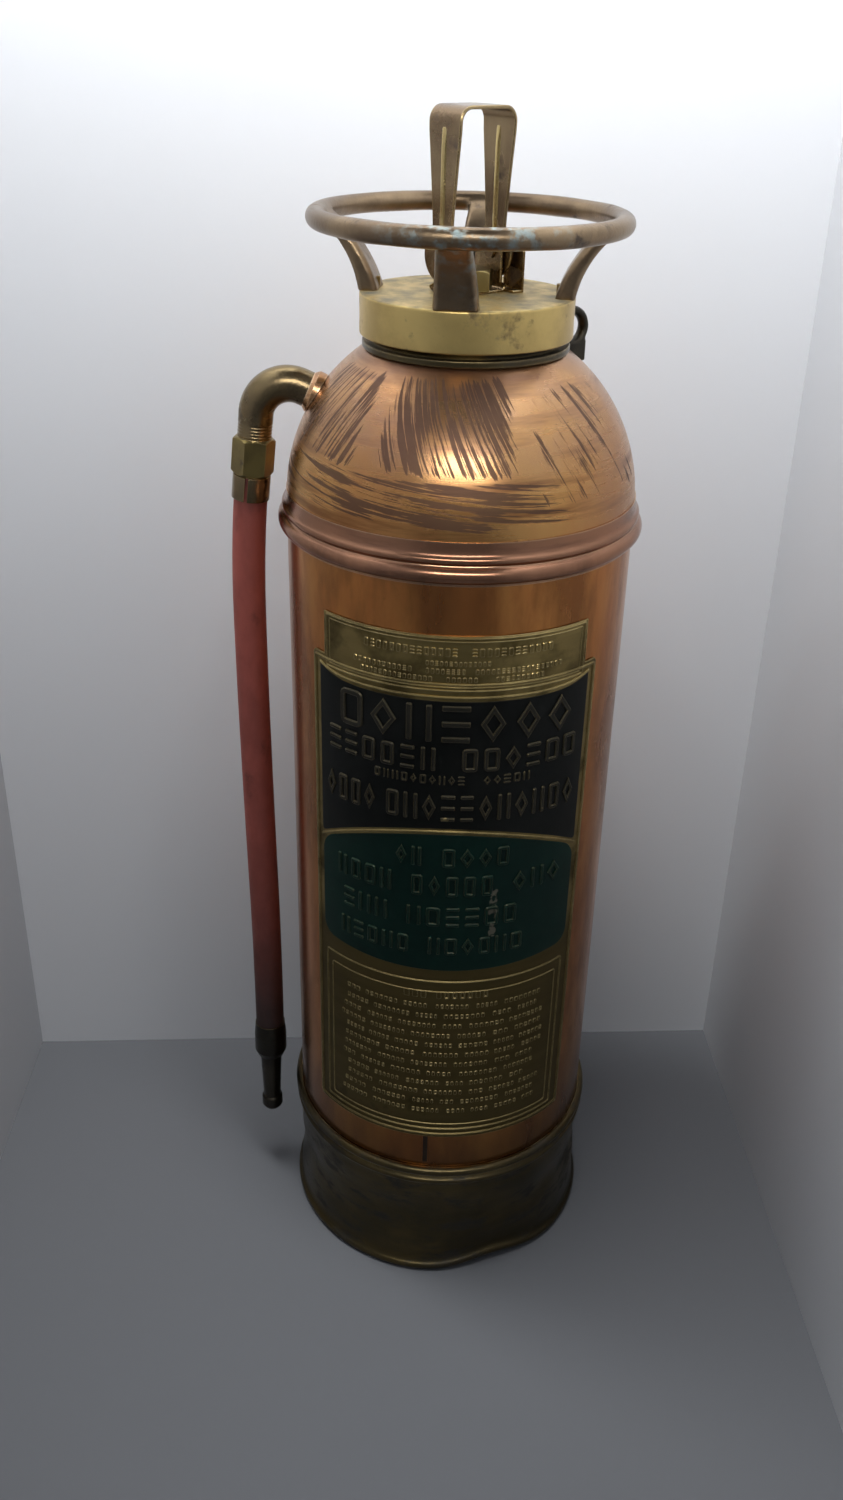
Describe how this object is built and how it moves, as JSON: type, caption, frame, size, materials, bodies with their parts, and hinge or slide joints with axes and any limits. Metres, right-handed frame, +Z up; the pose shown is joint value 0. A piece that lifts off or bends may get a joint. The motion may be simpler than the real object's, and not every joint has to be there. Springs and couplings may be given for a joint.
{
  "type": "fire extinguisher",
  "caption": "Upright copper water fire extinguisher with a screw cap, ring handle, hinged guard over a striker, hanging hose and nozzle.",
  "frame": {"origin": "on the tank's axis in the plane of the foot", "axes": "+Z up, the name plate faces -Y, the outlet and hose are on the -X side"},
  "size_m": [0.2134, 0.1864, 0.6484],
  "materials": {
    "copper_shell": "polished copper, worn and streaked with brown tarnish",
    "dark_brass": "dark, aged brass",
    "brass": "satin brass",
    "plate_brass": "thin embossed brass with black and green enamel",
    "cap_brass": "satin olive brass",
    "strap_brass": "brown brass strap",
    "black_rubber": "matt black rubber",
    "red_rubber": "matt brick-red rubber",
    "spring_steel": "bright wire",
    "cartridge_steel": "grey painted steel"
  },
  "bodies": {
    "tank": {"tank_shell": "copper_shell", "dome": "copper_shell", "seam_bead": "copper_shell", "bottom_head": "copper_shell", "base_skirt": "dark_brass", "neck_collar": "brass", "name_plate": "plate_brass", "hanger_eye": "dark_brass", "gooseneck": "dark_brass", "outlet_flange": "dark_brass", "outlet_strainer": "brass", "union_nut": "brass", "union_washer": "black_rubber", "hose_tail": "brass", "hose_ferrule": "brass", "hose": "red_rubber", "nozzle_ferrule": "dark_brass", "nozzle": "dark_brass"},
    "seal": {"cap_gasket": "black_rubber"},
    "cap_body": {"cap": "cap_brass", "carry_handle": "dark_brass", "handle_rivets": "dark_brass", "guard_bracket": "strap_brass", "guard_pins": "brass", "gland_nut": "brass", "gland_packing": "black_rubber", "cartridge_socket": "brass", "spring_seat": "brass", "cartridge_washer": "black_rubber", "gas_cartridge": "cartridge_steel", "cartridge_cage": "brass", "return_spring": "spring_steel"},
    "guard_body": {"guard": "strap_brass"},
    "plunger": {"striker_knob": "brass", "plunger_stem": "brass", "spring_collar": "brass"}
  },
  "joints": [
    {"name": "cap_lift", "type": "slide", "parent": "tank", "child": "seal", "axis": [0, 0, 1], "range_m": [0, 0.0106]},
    {"name": "cap_turn", "type": "hinge", "parent": "seal", "child": "cap_body", "pos_m": [0, 0, 0.56], "axis": [0, 0, 1], "range_deg": [0, 1080]},
    {"name": "guard_hinge", "type": "hinge", "parent": "cap_body", "child": "guard_body", "pos_m": [0, 0, 0.585], "axis": [0.7431, 0.6691, 0], "range_deg": [-90, 90]},
    {"name": "plunger_slide", "type": "slide", "parent": "cap_body", "child": "plunger", "axis": [0, 0, 1], "range_m": [-0.008, 0], "stiffness_N_per_m": 400, "springref_m": 0.006, "deforming": ["return_spring"]}
  ],
  "couplings": [
    {"joint": "cap_lift", "follows": "cap_turn", "m_per_rad": 0.00055704}
  ]
}
